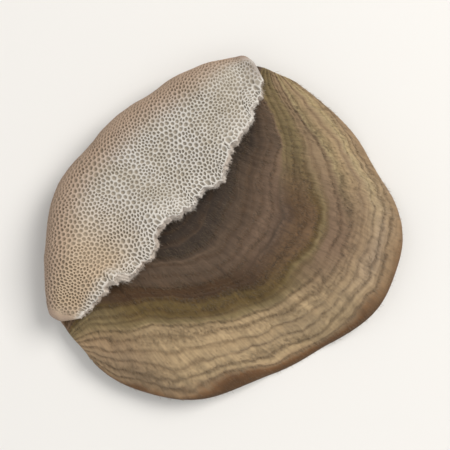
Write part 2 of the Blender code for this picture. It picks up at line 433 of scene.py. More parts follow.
def pore_share(row, along):
    """1 where the pores are open and 0 on the barren rim along the margin and the tips."""
    ragged = PORE_BORDER_RAGGED * dapple(middle(row, along), 0.5 * MM, 45)
    share = 1
    for distance, border, fade in zip(reaches(row, along), PORE_BORDERS, PORE_FADE):
        share = np.minimum(share, smooth((distance + ragged - border) / fade))
    return share


def pore_relief(row, along):
    """Relief of the pale side: low lumps, which the pores follow."""
    margin_share, tip_share = map(round_off, reaches(row, along), PORE_LUMP_REACHES)
    return dapples(middle(row, along), PORE_LUMPS, 41) * margin_share * tip_share


def inside(points):
    """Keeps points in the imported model's box, and so above the floor, by bending them back softly."""
    above = BOX_SOFTNESS * np.logaddexp(0, (points - cad_low) / BOX_SOFTNESS)
    below = BOX_SOFTNESS * np.logaddexp(0, (cad_high - cad_low - above) / BOX_SOFTNESS)
    return np.maximum(cad_high - below, cad_low)


def zoned_side(row, along, sink=0.0):
    """A point of the upper skin, or of what is sink below it."""
    rise = flesh(row, along) / 2 + zoned_relief(row, along) - sink
    return inside(middle(row, along) + normal(row, along) * rise[..., None])


def pore_side(row, along, sink=0.0):
    """A point of the pale side, or of what is sink below it."""
    rise = flesh(row, along) / 2 + pore_relief(row, along) - sink
    return inside(middle(row, along) - normal(row, along) * rise[..., None])


def laid_fan(row, along):
    """The fan in plan. Rows of the fold all lie on the fold line."""
    fan = spans(row)[2][..., None]
    return blend(fold_line(along), margin_line(along), fan) + tip_nose(row / ROWS, along)


def laid_fold(row, along):
    """The flap in plan, with the curl unrolled away from it. Rows of the fan all lie on its end."""
    flap, curl, _ = spans(row)
    forward = heading(FLAP_WAY)
    outer = curl_radius(along) + thin_tips(FOLD_THICKNESS, along) / 2
    hinge = fold_line(along) - forward * (curl_radius(along) * np.sin(curl_angle(along)))[..., None]
    unrolled = hinge - forward * (outer * (1 - curl) * curl_angle(along))[..., None]
    laid = blend(unrolled, torn_edge(along), flap[..., None])
    return laid + tip_nose(row / ROWS, along) + raggedness(row, along)[..., :2]


# ------------------------------------------------------------------ making pieces


def make_piece(name, points, faces, material, flat_from=None, **fields):
    """A mesh from arrays: points, faces as one array for each number of corners, and point fields.

    Faces are smooth up to flat_from, and flat from there on.
    """
    corners = np.concatenate([part.ravel() for part in faces])
    counts = np.concatenate([np.full(len(part), part.shape[1]) for part in faces])
    mesh = bpy.data.meshes.new(name)
    mesh.vertices.add(len(points))
    mesh.loops.add(len(corners))
    mesh.polygons.add(len(counts))
    mesh.vertices.foreach_set("co", points.astype(np.float32).ravel())
    mesh.loops.foreach_set("vertex_index", corners.astype(np.int32))
    mesh.polygons.foreach_set("loop_start", (np.cumsum(counts) - counts).astype(np.int32))
    mesh.update(calc_edges=True)
    for field, values in fields.items():
        layer = mesh.attributes.new(field, "FLOAT", "POINT")
        layer.data.foreach_set("value", values.astype(np.float32).ravel())
    mesh.shade_smooth()
    if flat_from is not None:
        flat = np.arange(len(counts)) >= flat_from
        mesh.attributes.new("sharp_face", "BOOLEAN", "FACE").data.foreach_set("value", flat)
    mesh.materials.append(material)
    piece = bpy.data.objects.new(name, mesh)
    bpy.context.scene.collection.objects.link(piece)
    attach(piece, "root")
    return piece


def ring_faces(rows, columns):
    """Quads of a tube of closed rings: rows go round it and columns along it."""
    row, column = np.meshgrid(np.arange(rows), np.arange(columns - 1), indexing="ij")
    here, ahead = row * columns, (row + 1) % rows * columns
    quads = np.stack([here + column, ahead + column, ahead + column + 1, here + column + 1], axis=-1)
    return quads.reshape(-1, 4)


def zipper(chain_a, chain_b, place_a, place_b):
    """Triangles between two chains that run side by side, each step closed on the other's last point."""
    beside_a = np.searchsorted(place_b[1:], place_a[1:], side="left")
    beside_b = np.searchsorted(place_a[1:], place_b[1:], side="right")
    steps_a = np.stack([chain_a[:-1], chain_b[beside_a], chain_a[1:]], axis=-1)
    steps_b = np.stack([chain_b[:-1], chain_b[1:], chain_a[beside_b]], axis=-1)
    return np.concatenate([steps_a, steps_b])


def sheet_rows(runs):
    """Rows of a fine grid, for runs of (first row, last row, steps, crowding towards the last)."""
    parts = [
        blend(start, end, 1 - (1 - np.arange(steps) / steps) ** power)
        for start, end, steps, power in runs
    ]
    return np.append(np.concatenate(parts), ROWS)


def sheet_columns(count):
    """Columns from tip to tip, closer together at the tips."""
    share = np.linspace(0, 1, count)
    return blend(share, smooth(share), 0.4)


# ------------------------------------------------------------------ the flesh with its zoned skin

ZONED_RUNS = ((0, 11, 14, 1), (11, 20, 17, 1), (20, ROWS, 177, 1.25))
PALE_RUNS = ((0, 0.4, 4, 1), (0.4, 11, 16, 1), (11, 20, 18, 1), (20, 42, 19, 1), (42, ROWS, 23, 1.3))
FLESH_COLUMNS = 326
TORN_RIM, TORN_STEPS = 0.3, 9
TORN_BULGE, TORN_ROUGHNESS = 0.10 * MM, 0.07 * MM


def torn_face(along):
    """The tear between the two sides: a rough, slightly bulging face with fibrous ledges."""
    across = np.linspace(0, 1, TORN_STEPS + 2)[1:-1, None] * np.ones_like(along)
    place = along * np.ones_like(across)
    torn = np.zeros_like(across)
    low, high = pore_side(torn, place), zoned_side(torn, place)
    bulge = TORN_BULGE * np.sin(math.pi * across)
    bulge = bulge + TORN_ROUGHNESS * dapple(blend(low, high, across[..., None]), 0.16 * MM, 51)
    bulge = bulge + TORN_ROUGHNESS * wave(3.4 * across + 1.7 * wave(7 * place))
    outwards = np.append(heading(FLAP_WAY), 0) * (bulge * body_share(place, 0.05))[..., None]
    return inside(blend(low, high, across[..., None]) + outwards)


def cap_body(material):
    """The closed cap: zoned side, rim, pale side back to the tear, torn face, and the two tip ends."""
    up_rows, low_rows = sheet_rows(ZONED_RUNS), sheet_rows(PALE_RUNS)
    columns = sheet_columns(FLESH_COLUMNS)
    up_row, up_along = np.meshgrid(up_rows, columns, indexing="ij")
    low_row, low_along = np.meshgrid(low_rows[::-1], columns, indexing="ij")
    sink = blend(-FLESH_RISE, PORE_DEPTH + FLESH_GAP, smooth(pore_share(low_row, low_along) / FLESH_FADE))
    sink = sink * smooth(low_row / TORN_RIM)
    top, bottom = zoned_side(up_row, up_along), pore_side(low_row, low_along, sink)
    torn = torn_face(columns)
    torn_row, torn_along = np.zeros(torn.shape[:2]), columns * np.ones(torn.shape[:2])
    grid = np.concatenate([top, bottom, torn])
    rows = len(grid)

    chain_a = np.arange(len(top)) * len(columns)
    chain_b = np.arange(rows - 1, len(top) - 1, -1) * len(columns)
    place_b = np.concatenate([-1 - np.arange(len(torn))[::-1].astype(float), low_rows])
    end = zipper(chain_a, chain_b, up_rows, place_b)
    far_end = end[:, ::-1] + len(columns) - 1

    row = np.concatenate([up_row, low_row, torn_row])
    along = np.concatenate([up_along, low_along, torn_along])
    sides = np.repeat([[0, 1, 1], [0, 0, 1]], [len(top), len(bottom), len(torn)], axis=1)
    pale, tear = sides[..., None] * np.ones(len(columns))
    piece = make_piece(
        "cap_flesh",
        grid.reshape(-1, 3),
        [ring_faces(rows, len(columns))[:, ::-1], end[:, ::-1], far_end[:, ::-1]],
        material,
        zone=zone(row, along),
        line=growth_lines(zone(row, along)),
        along=along,
        row=row / ROWS,
        pale=pale,
        tear=tear,
    )
    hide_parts("cap")
    return piece


# ------------------------------------------------------------------ the pores of the pale side

PORE_BACK = 0.025 * MM
LIP_DEPTH, FLOOR_SHARE = 0.014 * MM, 0.72
PORE_OPEN, CORNER_ROUNDING = (0.70, 0.86), 0.90
RELAX_STEPS = 14
AREA_STEPS, LINE_STEPS = 80, 400
BELLY_JITTER = (0.12, 0.002)
OPEN_FROM, PORE_SPLIT = 0.03, 0.62


def delaunay(flat):
    """The Delaunay triangles of flat points, counter-clockwise."""
    points = [Vector(point) for point in flat / MM]
    _, _, found, sources, _, _ = delaunay_2d_cdt(points, [], [], 0, 1e-6)
    found = np.array([same[0] for same in sources])[np.array(found)]
    a, b, c = flat[found[:, 0]], flat[found[:, 1]], flat[found[:, 2]]
    turn = (b - a)[:, 0] * (c - a)[:, 1] - (b - a)[:, 1] * (c - a)[:, 0]
    found[turn < 0] = found[turn < 0][:, ::-1]
    return found


def pale_plain(row, along):
    """The pale side without its relief."""
    return middle(row, along) - normal(row, along) * flesh(row, along)[..., None] / 2


def even_line(rows, alongs):
    """Pore centres a pitch apart on a straight run of row and along, its two ends among them."""
    row, along = np.linspace(*rows, LINE_STEPS), np.linspace(*alongs, LINE_STEPS)
    line = pale_plain(row, along)
    run = np.append(0, np.cumsum(np.linalg.norm(np.diff(line, axis=0), axis=-1)))
    stops = np.linspace(0, run[-1], max(int(run[-1] / PORE_PITCH), 2) + 1)
    return np.stack([np.interp(stops, run, row), np.interp(stops, run, along)], axis=-1)


def scatter_pores(row_from, row_to, laid, seed):
    """Pore centres, evenly but irregularly spread over rows of the sheet, and their triangles.

    Random points, as many as hexagons of the pitch would fill the area, are moved again and again to
    the mean of their triangles' centres, weighted by real area. The points on the border stay. Those
    on row_from come first. laid gives the rows laid flat, on which the triangles are drawn, and those
    that bridge a hollow of the border are left out.
    """
    draw = np.random.default_rng(seed)
    grid_rows, grid_alongs = np.linspace(row_from, row_to, AREA_STEPS), np.linspace(0, 1, AREA_STEPS)
    sheet = pale_plain(*np.meshgrid(grid_rows, grid_alongs, indexing="ij"))
    diagonals = sheet[1:, 1:] - sheet[:-1, :-1], sheet[1:, :-1] - sheet[:-1, 1:]
    cell = np.linalg.norm(np.cross(*diagonals), axis=-1) / 2
    count = int(cell.sum() / (PORE_PITCH**2 * math.sqrt(3) / 2))
    chosen = draw.choice(cell.size, count, p=cell.ravel() / cell.sum())
    place = np.stack(np.unravel_index(chosen, cell.shape)) + draw.uniform(size=(2, count))
    cells = AREA_STEPS - 1
    inner = np.stack([row_from + (row_to - row_from) * place[0] / cells, place[1] / cells], axis=-1)

    ends = [even_line((row_from, row_to), (tip, tip))[1:-1] for tip in (0, 1)]
    border = np.concatenate([even_line((row, row), (0, 1)) for row in (row_from, row_to)] + ends)
    sites = np.concatenate([border, inner])
    for _ in range(RELAX_STEPS):
        triangles = delaunay(laid(*sites.T))
        real = pale_plain(*sites.T)[triangles]
        area = np.linalg.norm(np.cross(real[:, 1] - real[:, 0], real[:, 2] - real[:, 0]), axis=-1)
        centre = sites[triangles].mean(axis=1) * area[:, None]
        owner = triangles.ravel()
        weight = np.bincount(owner, np.repeat(area, 3), len(sites))
        moves = weight > 0
        moves[:len(border)] = False
        for axis in (0, 1):
            total = np.bincount(owner, np.repeat(centre[:, axis], 3), len(sites))
            sites[moves, axis] = total[moves] / weight[moves]
    triangles = delaunay(laid(*sites.T))
    rows = sites[triangles, 0]
    outside = (rows == row_from).all(axis=1) | (rows == row_to).all(axis=1)
    return sites, triangles[~outside]


def join_scatters(fan, fold):
    """One net of pores from the fan's and the fold's, which share the centres on the belly line.

    The fold is laid flat face down to the fan, so its triangles are turned over.
    """
    (fan_sites, fan_triangles), (fold_sites, fold_triangles) = fan, fold
    seam = np.count_nonzero(fold_sites[:, 0] == FLAP_ROWS + CURL_ROWS)
    numbers = np.append(np.arange(seam), len(fan_sites) + np.arange(len(fold_sites) - seam))
    triangles = np.concatenate([fan_triangles, numbers[fold_triangles][:, ::-1]])
    sites = np.concatenate([fan_sites, fold_sites[seam:]])
    draw = np.random.default_rng(63)
    sites[1:seam - 1] += draw.uniform(-1, 1, (seam - 2, 2)) * BELLY_JITTER
    return sites, triangles


def neighbours(sites, triangles):
    """The net's half edges: from which site, to which, in which triangle, the number of the next one
    round the triangle, and of the one back. It also tells which sites have triangles all round."""
    source, target = triangles.ravel(), np.roll(triangles, -1, axis=1).ravel()
    owner = np.repeat(np.arange(len(triangles)), 3)
    following = np.roll(np.arange(len(source)).reshape(-1, 3), -1, axis=1).ravel()
    key, back_key = source * len(sites) + target, target * len(sites) + source
    order = np.argsort(key)
    back = order[np.minimum(np.searchsorted(key[order], back_key), len(order) - 1)]
    lone = key[back] != back_key
    whole = np.isin(np.arange(len(sites)), source)
    whole[source[lone]] = False
    whole[target[lone]] = False
    return source, target, owner, following, back, whole


def pore_layer(name, sites, triangles, net, built, material):
    """A closed layer of pores round the built sites, each a many-sided cell about its site.

    The cells' corners are the centres of the triangles, those beside the tear moved onto it, so that
    the layer ends there. Each cell has a lip, a wall down to a smaller floor, a plain back, and a
    skirt where no cell is built beside it. One row of each array below stands for one edge from a
    site to a neighbour.
    """
    count = len(sites)
    source, target, owner, following, back_edge, _ = net
    edge = np.flatnonzero(built[source])
    right = owner[back_edge[edge]]
    before = following[back_edge[edge]]
    site, left = source[edge], owner[edge]

    draw = np.random.default_rng(71)
    open_share = draw.uniform(*PORE_OPEN, count)[site, None]
    depth = PORE_DEPTH * pore_share(sites[:, 0], sites[:, 1]) * draw.uniform(0.8, 1.0, count)
    corners = sites[triangles].mean(axis=1)
    corners[(sites[triangles, 0] == 0).any(axis=1), 0] = 0
    home = sites[site]
    to_corner, to_side = corners[left] - home, (corners[left] + corners[right]) / 2 - home
    corner_depth = PORE_DEPTH * pore_share(corners[:, 0], corners[:, 1]) + PORE_BACK / 2
    # The last number of each set is how much painted shade a point gets: none on the rim corners, a little
    # on the lips, most on the floors and the back.
    sets = (
        (corners, 0 * corner_depth, 0),
        (home + to_corner * open_share * CORNER_ROUNDING, np.minimum(LIP_DEPTH, depth[site] / 2), 0.25),
        (home + to_side * open_share, np.minimum(LIP_DEPTH, depth[site] / 2), 0.25),
        (home + to_corner * open_share * CORNER_ROUNDING * FLOOR_SHARE, depth[site], 0.9),
        (home + to_side * open_share * FLOOR_SHARE, depth[site], 0.9),
        (sites, depth, 1.0),
        (corners, corner_depth, 1.0),
        (sites, depth + PORE_BACK / 2, 1.0),
    )
    place = np.concatenate([where for where, _, _ in sets])
    sink = np.concatenate([deep for _, deep, _ in sets])
    pit_shade = np.concatenate([np.full(len(where), dark) for where, _, dark in sets])
    corner, lip_corner, lip_side, floor_corner, floor_side, middle_of, back, back_middle = np.cumsum(
        [0] + [len(where) for where, _, _ in sets[:-1]])

    number = np.full(len(following), -1)
    number[edge] = np.arange(len(edge))
    here, earlier = number[edge], number[before]

    def stack(*parts):
        return np.stack(parts[::-1], axis=-1)

    skirt = stack(corner + left, corner + right, back + right, back + left)[~built[target[edge]]]
    faces = [
        np.concatenate([
            stack(corner + right, corner + left, lip_side + here),
            stack(corner + left, lip_corner + here, lip_side + here),
            stack(corner + right, lip_side + here, lip_corner + earlier),
            stack(floor_side + here, floor_corner + here, middle_of + site),
            stack(floor_corner + earlier, floor_side + here, middle_of + site),
            stack(back + left, back + right, back_middle + site),
        ]),
        np.concatenate([
            stack(lip_side + here, lip_corner + here, floor_corner + here, floor_side + here),
            stack(lip_corner + earlier, lip_side + here, floor_side + here, floor_corner + earlier),
            skirt,
        ]),
    ]
    used, numbers = np.unique(np.concatenate([part.ravel() for part in faces]), return_inverse=True)
    split = faces[0].size
    faces = [numbers[:split].reshape(-1, 3), numbers[split:].reshape(-1, 4)]
    row, along = place[used].T
    points = pore_side(row, along, sink[used])
    fields = dict(along=along, row=row / ROWS, pit_shade=pit_shade[used], tear=0 * row)
    flat_from = len(faces[0]) + len(faces[1]) - len(skirt)
    return make_piece(name, points, faces, material, flat_from, **fields)


def pores(material):
    """The pores in four pieces: two on the fan's underside, one on the curl and one on the flap."""
    belly = FLAP_ROWS + CURL_ROWS
    fan = scatter_pores(belly, ROWS, laid_fan, 61)
    fold = scatter_pores(belly, 0, laid_fold, 62)
    sites, triangles = join_scatters(fan, fold)
    net = neighbours(sites, triangles)
    opened = net[-1] & (pore_share(*sites.T) > OPEN_FROM)
    starts = dict(flap=-1, curl=FLAP_ROWS, under_inner=belly, under_outer=belly + PORE_SPLIT * FAN_ROWS)
    for (part, start), end in zip(starts.items(), [*starts.values()][1:] + [ROWS + 1]):
        here = (sites[:, 0] >= start) & (sites[:, 0] < end)
        pore_layer("pores_" + part, sites, triangles, net, opened & here, material)


# ------------------------------------------------------------------ velvet and torn fibres

HAIR_RADIUS, HAIR_LENGTHS = 0.0115 * MM, (0.20 * MM, 0.48 * MM)
HAIR_TILT, HAIR_TURN = (4, 17), 14
HAIR_SINK, HAIR_TRIES, HAIR_CLEAR = 0.02 * MM, 6, (0.3 * MM, 0.4 * MM)
VELVET_STRIPES, VELVET_THIN = 7.5, 0.35
FIBRE_RADIUS, FIBRE_LENGTHS = 0.011 * MM, (0.12 * MM, 0.40 * MM)


def bristles(name, roots, ways, tips, lengths, radius, material, **fields):
    """Closed tapered hairs: a triangle at the root, a smaller one half way, and a point at the tip."""
    across = unit(np.cross(ways, unit(tips + [0.3, 0.2, 0.5])))
    other = np.cross(ways, across)
    turn = np.arange(3) * 2 * math.pi / 3
    ring = np.cos(turn)[:, None] * across[:, None] + np.sin(turn)[:, None] * other[:, None]
    knees = roots + ways * lengths[:, None] / 2
    ends = knees + tips * lengths[:, None] / 2
    points = np.concatenate([
        roots[:, None] + ring * radius,
        knees[:, None] + ring * radius * 0.75,
        ends[:, None],
    ], axis=1)
    points = inside(points)
    first = np.arange(len(roots))[:, None] * 7
    sides = np.concatenate([first + np.array([k, (k + 1) % 3, 3 + (k + 1) % 3, 3 + k]) for k in range(3)])
    ends = np.concatenate([first + np.array([3 + k, 3 + (k + 1) % 3, 6]) for k in range(3)])
    bases = first + np.array([2, 1, 0])
    fields = {key: np.repeat(values, 7) for key, values in fields.items()}
    fields["tip"] = np.tile([0, 0, 0, 0.6, 0.6, 0.6, 1.0], len(roots))
    return make_piece(name, points.reshape(-1, 3), [sides, ends, bases], material, **fields)


def ways_on_sheet(row, along):
    """Unit vectors outwards along the zoned side, and across it, and its normal."""
    step = 0.2
    out = unit(middle(np.minimum(row + step, ROWS), along) - middle(np.maximum(row - step, 0), along))
    up = normal(row, along)
    return out, np.cross(up, out), up


def velvet(name, count, seed, fan_from, fan_to, material):
    """Short hairs that lie outwards on the zoned side, in stripes of thick and thin velvet.

    Of many random roots, those are kept that come first by a random number over the wanted density.
    """
    draw = np.random.default_rng(seed)
    tries = count * HAIR_TRIES
    fan = draw.uniform(fan_from, fan_to, tries)
    row = FLAP_ROWS + CURL_ROWS + fan * FAN_ROWS
    along = draw.uniform(0.004, 0.996, tries)
    by_row = middle(row + 0.1, along) - middle(row - 0.1, along)
    by_along = middle(row, along + 0.002) - middle(row, along - 0.002)
    area = np.linalg.norm(np.cross(by_row, by_along), axis=-1)
    place = zone(row, along)
    thick = blend(VELVET_THIN, 1, smooth(0.5 + 0.5 * wave(VELVET_STRIPES * place, 0.8)))
    to_margin, to_tip = reaches(row, along)
    chance = area * thick * smooth(to_margin / HAIR_CLEAR[0]) * smooth(to_tip / HAIR_CLEAR[1])
    kept = np.argsort(draw.uniform(size=tries) / np.maximum(chance, 1e-12))[:count]
    row, along, place, thick = row[kept], along[kept], place[kept], thick[kept]

    out, side, up = ways_on_sheet(row, along)
    turn = np.radians(draw.normal(0, HAIR_TURN, count))[:, None]
    tilt = np.radians(draw.uniform(*HAIR_TILT, count))[:, None]
    lie = out * np.cos(turn) + side * np.sin(turn)
    curl = draw.normal(0, 0.25, (count, 1)) * side
    ways = unit(lie * np.cos(tilt) + up * np.sin(tilt))
    tips = unit(lie * np.cos(tilt / 3) + up * np.sin(tilt / 3) * 0.4 + curl)
    lengths = draw.uniform(*HAIR_LENGTHS, count) * (0.6 + 0.5 * thick)
    roots = zoned_side(row, along, HAIR_SINK)
    fields = dict(zone=place, along=along, line=growth_lines(place))
    return bristles(name, roots, ways, tips, lengths, HAIR_RADIUS, material, **fields)


def torn_fibres(count, seed, material):
    """Loose ends of flesh fibres that stand out of the torn face."""
    draw = np.random.default_rng(seed)
    along = draw.uniform(0.02, 0.98, count)
    row = np.zeros(count)
    across = draw.uniform(0.03, 0.97, (count, 1))
    roots = blend(pore_side(row, along), zoned_side(row, along), across)
    outwards = np.append(heading(FLAP_WAY), 0)
    ways = unit(outwards + draw.normal(0, 0.45, (count, 3)))
    tips = unit(ways + draw.normal(0, 0.5, (count, 3)))
    lengths = draw.uniform(*FIBRE_LENGTHS, count)
    fields = dict(along=along, row=row, pit_shade=0 * row, tear=row + 1)
    return bristles("torn_fibres", roots, ways, tips, lengths, FIBRE_RADIUS, material, **fields)


# ------------------------------------------------------------------ finishes

PAINTS = dict(
    # The heart's own dark colour, partly painted shade: it is darkened all over the heart to stand for the
    # shade beside the torn edge.
    umber_with_shade="#3a3028",
    mauve="#574739",
    ash="#6a5646",
    rust="#71583f",
    bark="#48331f",
    olive="#62502d",
    moss="#7c6c4c",
    taupe="#7a6450",
    fawn="#927c61",
    tan="#a48d6c",
    sand="#9f8b74",
    straw="#ac9573",
    sage="#ab9973",
    oat="#b3aa98",
    rim="#694b30",
    cream="#cac6c0",
    chalk="#dad6cf",
    peach="#b09884",
    shell="#c2a888",
    husk="#927a67",
    hide="#957d60",
    plum="#7b6862",
    # Painted shade for the pores' floors.
    pit_shade="#857a69",
)

EAST_BANDS = (
    (0.00, "umber_with_shade"), (0.38, "umber_with_shade"), (0.44, "mauve"), (0.53, "ash"), (0.575, "ash"), (0.585, "mauve"),
    (0.60, "ash"), (0.63, "rust"), (0.675, "rust"), (0.69, "olive"), (0.705, "moss"), (0.73, "taupe"),
    (0.79, "taupe"), (0.85, "fawn"), (0.865, "fawn"), (0.92, "sand"), (0.95, "fawn"),
    (0.98, "hide"), (1.00, "rim"),
)
SOUTH_BANDS = (
    (0.00, "umber_with_shade"), (0.38, "umber_with_shade"), (0.44, "mauve"), (0.51, "mauve"), (0.56, "bark"), (0.63, "bark"),
    (0.66, "olive"), (0.70, "olive"), (0.74, "moss"), (0.77, "tan"), (0.80, "straw"), (0.835, "straw"),
    (0.845, "tan"), (0.89, "straw"), (0.935, "straw"), (0.955, "hide"), (0.975, "rim"), (1.00, "bark"),
)
NORTH_BANDS = (
    (0.00, "umber_with_shade"), (0.42, "umber_with_shade"), (0.48, "mauve"), (0.53, "mauve"), (0.56, "taupe"), (0.59, "moss"),
    (0.68, "moss"), (0.71, "fawn"), (0.77, "fawn"), (0.79, "sage"), (0.82, "tan"), (0.845, "fawn"),
    (0.88, "sage"), (0.92, "tan"), (0.97, "fawn"), (1.00, "hide"),
)
WEST_BANDS = (
    (0.00, "rust"), (0.52, "rust"), (0.60, "taupe"), (0.64, "olive"), (0.665, "moss"), (0.72, "moss"),
    (0.81, "hide"), (0.86, "fawn"), (0.93, "fawn"), (0.97, "hide"), (1.00, "rim"),
)


def linear(paint):
    """A paint's colour as linear light, from its hexadecimal sRGB value."""
    levels = [int(PAINTS[paint][start:start + 2], 16) / 255 for start in (1, 3, 5)]
    return [level / 12.92 if level < 0.04045 else ((level + 0.055) / 1.055) ** 2.4 for level in levels] + [1]


class Board:
    """A node tree with short ways to add nodes and feed their sockets."""

    def __init__(self, tree):
        self.tree = tree

    def add(self, kind, feeds=None, **settings):
        made = self.tree.nodes.new("ShaderNode" + kind)
        for key, value in settings.items():
            setattr(made, key, value)
        for socket, value in (feeds or {}).items():
            self.feed(made.inputs[socket], value)
        return made

    def feed(self, socket, value):
        if isinstance(value, bpy.types.NodeSocket):
            self.tree.links.new(value, socket)
        else:
            socket.default_value = value

    def math(self, operation, *values):
        return self.add("Math", dict(enumerate(values)), operation=operation).outputs[0]

    def span(self, value, low, high, to_low=0.0, to_high=1.0):
        """An S-curve from to_low at low to to_high at high."""
        feeds = {"Value": value, "From Min": low, "From Max": high, "To Min": to_low, "To Max": to_high}
        return self.add("MapRange", feeds, interpolation_type="SMOOTHSTEP").outputs["Result"]

    def mix(self, share, below, above, way="MIX"):
        feeds = {0: share, 6: below, 7: above}
        return self.add("Mix", feeds, data_type="RGBA", blend_type=way).outputs[2]

    def noise(self, vector, scale, detail=2.0, roughness=0.5):
        feeds = {"Vector": vector, "Scale": scale, "Detail": detail, "Roughness": roughness}
        return self.add("TexNoise", feeds).outputs["Fac"]

    def vector(self, *parts):
        return self.add("CombineXYZ", dict(enumerate(parts))).outputs[0]

    def bands(self, value, bands):
        """A colour ramp through (place, paint) bands."""
        made = self.add("ValToRGB", {"Fac": value})
        stops = made.color_ramp.elements
        while len(stops) < len(bands):
            stops.new(0.5)
        for stop, (place, _) in zip(stops, bands):
            stop.position = place
        for stop, (_, paint) in zip(stops, bands):
            stop.color = linear(paint)
        return made.outputs["Color"]


def group(name, inputs, outputs):
    """A shader node group with float inputs, and a board that fills it."""
    tree = bpy.data.node_groups.new(name, "ShaderNodeTree")
    for label in inputs:
        tree.interface.new_socket(label, in_out="INPUT", socket_type="NodeSocketFloat")
    for label, kind in outputs.items():
        tree.interface.new_socket(label, in_out="OUTPUT", socket_type="NodeSocket" + kind)
    given, out = tree.nodes.new("NodeGroupInput").outputs, tree.nodes.new("NodeGroupOutput").inputs
    return tree, Board(tree), given, out


def growth_zones():
    """Colours of the zoned side: four runs of bands, one for each quarter of the margin, that fade
    into each other, with radial streaks that fray the bands' lines, dark growth lines, and stripes."""
    inputs, outputs = ("Zone", "Along", "Line"), {"Colour": "Color", "Streak": "Float"}
    tree, board, given, out = group("growth_zones", inputs, outputs)
    place, along = given["Zone"], given["Along"]

    def stretched(across, outwards, slice_at, detail):
        """Noise drawn out across or along the zones."""
        parts = (board.math("MULTIPLY", along, across), board.math("MULTIPLY", place, outwards), slice_at)
        return board.noise(board.vector(*parts), 1, detail, 0.55)

    fine, broad = stretched(260, 14, 0, 2), stretched(60, 6, 7, 2)
    streak = board.math("ADD", board.math("MULTIPLY", fine, 0.6), board.math("MULTIPLY", broad, 0.4))
    frayed = board.math("MULTIPLY_ADD", board.math("SUBTRACT", streak, 0.5), 0.030, place)

    colour = board.bands(frayed, EAST_BANDS)
    leaning = board.math("MULTIPLY_ADD", place, 0.25, along)
    colour = board.mix(board.span(leaning, 0.61, 0.75), colour, board.bands(frayed, SOUTH_BANDS))
    colour = board.mix(board.span(along, 0.78, 0.88), colour, board.bands(frayed, WEST_BANDS))
    colour = board.mix(board.span(along, 0.40, 0.24), colour, board.bands(frayed, NORTH_BANDS))

    stripes = stretched(4, 70, 3, 3)
    colour = board.mix(board.span(stripes, 0.52, 0.70, 0, 0.26), colour, linear("bark"))
    colour = board.mix(board.span(stripes, 0.48, 0.30, 0, 0.20), colour, linear("taupe"))
    line = board.math("MULTIPLY", given["Line"], board.span(broad, 0.35, 0.6, 0.13, 0.42))
    colour = board.mix(line, colour, linear("bark"))
    shade = board.span(streak, 0.30, 0.70, 0.82, 1.18)
    colour = board.mix(1.0, colour, board.vector(shade, shade, shade), "MULTIPLY")
    board.feed(out["Colour"], colour)
    board.feed(out["Streak"], streak)
    return tree


def pale_flesh():
    """Colours of the pale side and the tear: cream on the flap and the fan's underside, shell at the
    low end, peach to husk round the curl, a plum stain at the tips, chalk at the tear, painted shade in the
    pores."""
    tree, board, given, out = group("pale_flesh", ("Row", "Along", "Pit_shade", "Tear"), {"Colour": "Color"})
    row, along = given["Row"], given["Along"]
    where = board.add("TexCoord").outputs["Object"]
    blotch = board.noise(where, 420, 3, 0.55)
    speck = board.noise(where, 2600, 2, 0.6)
    before_fan = board.span(row, 0.45, 0.35)

    colour = board.mix(board.span(blotch, 0.35, 0.65, 0, 0.60), linear("cream"), linear("oat"))
    colour = board.mix(board.span(speck, 0.45, 0.70, 0, 0.45), colour, linear("chalk"))
    low_end = board.math("MULTIPLY", board.span(along, 0.55, 0.85, 0, 0.8), before_fan)
    colour = board.mix(low_end, colour, linear("shell"))
    on_curl = board.math("MULTIPLY", board.span(row, 0.18, 0.25), before_fan)
    colour = board.mix(on_curl, colour, linear("peach"))
    lower_curl = board.math("MULTIPLY", board.span(row, 0.25, 0.33, 0, 0.8), before_fan)
    colour = board.mix(lower_curl, colour, linear("husk"))
    stain = board.math("ADD", board.span(along, 0.07, 0.0), board.span(along, 0.93, 1.0))
    stain = board.math("MULTIPLY", stain, board.span(blotch, 0.35, 0.6, 0.1, 0.6))
    colour = board.mix(stain, colour, linear("plum"))
    colour = board.mix(board.span(row, 0.965, 0.995, 0, 0.6), colour, linear("hide"))
    colour = board.mix(board.span(row, 0.08, 0.0, 0, 0.8), colour, linear("chalk"))
    # Painted shade: the pores are darkened towards their floors, where shade falls.
    colour = board.mix(board.math("MULTIPLY", given["Pit_shade"], 0.75), colour, linear("pit_shade"))
    tear = board.math("MULTIPLY", given["Tear"], board.span(blotch, 0.3, 0.7, 0.15, 0.6))
    colour = board.mix(tear, colour, linear("peach"))
    board.feed(out["Colour"], colour)
    return tree


def finish(name, roughness, sheen):
    """A dry matt material, with its board and its shader."""
    material = bpy.data.materials.new(name)
    material.use_nodes = True
    board = Board(material.node_tree)
    shader = material.node_tree.nodes["Principled BSDF"]
    shader.inputs["Roughness"].default_value = roughness
    shader.inputs["Specular IOR Level"].default_value = 0.25
    shader.inputs["Sheen Weight"].default_value = sheen
    shader.inputs["Sheen Roughness"].default_value = 0.6
    return material, board, shader


def field(board, name):
    """A point field of the piece, as a value."""
    return board.add("Attribute", attribute_name=name, attribute_type="GEOMETRY").outputs["Fac"]


def place_group(board, tree, labels, preset=None):
    """A node group placed in a material, with the piece's fields fed to the inputs of their names."""
    placed = board.add("Group", preset, node_tree=tree)
    for label in labels:
        board.feed(placed.inputs[label], field(board, label.lower()))
    return placed.outputs


def grain(board, shader, height, distance):
    """Fine bumps, of a height times a distance."""
    made = board.add("Bump", {"Height": height, "Distance": distance, "Strength": 1.0})
    board.feed(shader.inputs["Normal"], made.outputs["Normal"])


